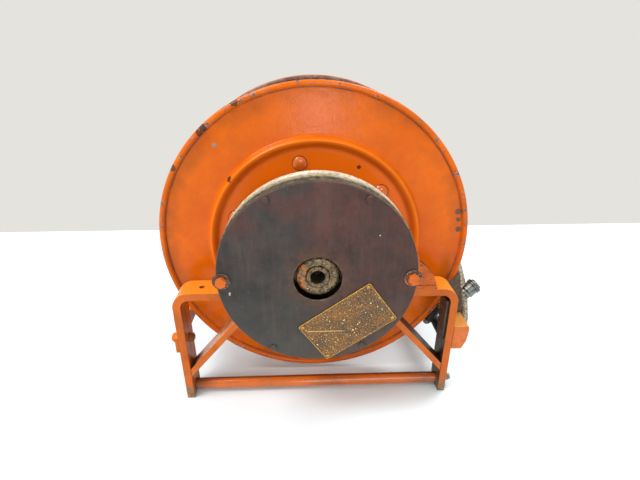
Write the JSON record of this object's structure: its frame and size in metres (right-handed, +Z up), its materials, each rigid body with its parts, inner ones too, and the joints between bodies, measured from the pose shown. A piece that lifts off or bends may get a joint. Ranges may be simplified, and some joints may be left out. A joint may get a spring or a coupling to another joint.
{
  "type": "spring rewind hose reel",
  "caption": "Spring-rewind hose reel: riveted drum between stamped flanges, round spring case, bent flat-bar frame and roller hose guide.",
  "frame": {"origin": "middle of the whole reel's footprint, on the floor", "axes": "+Z up, -Y towards the spring case at the front, +X towards the inlet and the hose guide"},
  "size_m": [0.547, 0.406, 0.5184],
  "materials": {
    "orange_paint": "orange enamel over steel, orange peel, chipped and greasy",
    "cover_paint": "dark grey-brown paint gone to rust on the right",
    "case_paint": "pale grey-beige paint, dirty",
    "plate_brass": "worn brassy sheet, bare, no lettering",
    "worn_steel": "worn and oily steel",
    "spring_steel": "blued spring steel",
    "bearing_bronze": "dull bronze",
    "olive_tube": "dirty olive-grey steel",
    "zinc": "zinc plate",
    "black_roller": "black nylon"
  },
  "bodies": {
    "frame": {"front_left_leg": "orange_paint", "front_right_leg": "orange_paint", "rear_left_leg": "orange_paint", "rear_right_leg": "orange_paint", "front_left_brace": "orange_paint", "front_right_brace": "orange_paint", "rear_left_brace": "orange_paint", "rear_right_brace": "orange_paint", "front_bearing_plate": "orange_paint", "rear_bearing_plate": "orange_paint", "front_tie_bar": "orange_paint", "rear_tie_bar": "orange_paint", "left_side_rail": "orange_paint", "front_rail_bolt": "orange_paint", "rear_rail_bolt": "orange_paint", "right_leg_doubler": "orange_paint", "case_bolt_right": "orange_paint", "case_bolt_left": "orange_paint", "inlet_block": "orange_paint", "guide_front_plate": "orange_paint", "guide_rear_plate": "orange_paint", "front_bearing": "bearing_bronze", "rear_bearing": "bearing_bronze", "swivel_body": "bearing_bronze", "gland_nut": "bearing_bronze", "spring_case": "case_paint", "spring_cover": "cover_paint", "cover_screw_1": "cover_paint", "cover_screw_2": "cover_paint", "cover_screw_3": "cover_paint", "cover_screw_4": "cover_paint", "power_spring": "spring_steel", "nameplate": "plate_brass", "guide_front_pin": "worn_steel", "guide_rear_pin": "worn_steel", "guide_front_washer": "worn_steel", "guide_rear_washer": "worn_steel", "guide_cross_pin": "worn_steel", "inlet_tube": "olive_tube", "guide_carrier": "olive_tube", "inlet_coupling": "zinc"},
    "drum": {"front_hub": "orange_paint", "rear_hub": "orange_paint", "drum_shell": "orange_paint", "front_flange": "orange_paint", "rear_flange": "orange_paint", "flange_rivet_1": "orange_paint", "flange_rivet_2": "orange_paint", "flange_rivet_3": "orange_paint", "flange_rivet_4": "orange_paint", "flange_rivet_5": "orange_paint", "flange_rivet_6": "orange_paint", "shaft": "worn_steel", "spring_arbor": "worn_steel", "outlet_riser": "worn_steel", "hose_nipple": "zinc"},
    "front_roller": {"guide_front_roller": "black_roller"},
    "rear_roller": {"guide_rear_roller": "black_roller"},
    "cross_roller": {"guide_cross_roller": "black_roller"},
    "collar": {"coupling_collar": "zinc"}
  },
  "joints": [
    {"name": "drum_spin", "type": "hinge", "parent": "frame", "child": "drum", "pos_m": [-0.01755, 0.00635, 0.2625], "axis": [0, 1, 0], "range_deg": [0, 4410], "stiffness_Nm_per_rad": 0.15, "springref_deg": -1145.92},
    {"name": "front_roller_spin", "type": "hinge", "parent": "frame", "child": "front_roller", "pos_m": [0.20845, -0.04565, 0.0978], "axis": [0.5446, 0, 0.8387], "continuous": true},
    {"name": "rear_roller_spin", "type": "hinge", "parent": "frame", "child": "rear_roller", "pos_m": [0.20845, 0.05835, 0.0978], "axis": [0.5446, 0, 0.8387], "continuous": true},
    {"name": "cross_roller_spin", "type": "hinge", "parent": "frame", "child": "cross_roller", "pos_m": [0.2189, 0.00635, 0.07313], "axis": [0, 1, 0], "continuous": true},
    {"name": "collar_spin", "type": "hinge", "parent": "frame", "child": "collar", "pos_m": [0.26227, -0.07801, 0.17623], "axis": [0.7899, 0.25, 0.5599], "continuous": true}
  ]
}
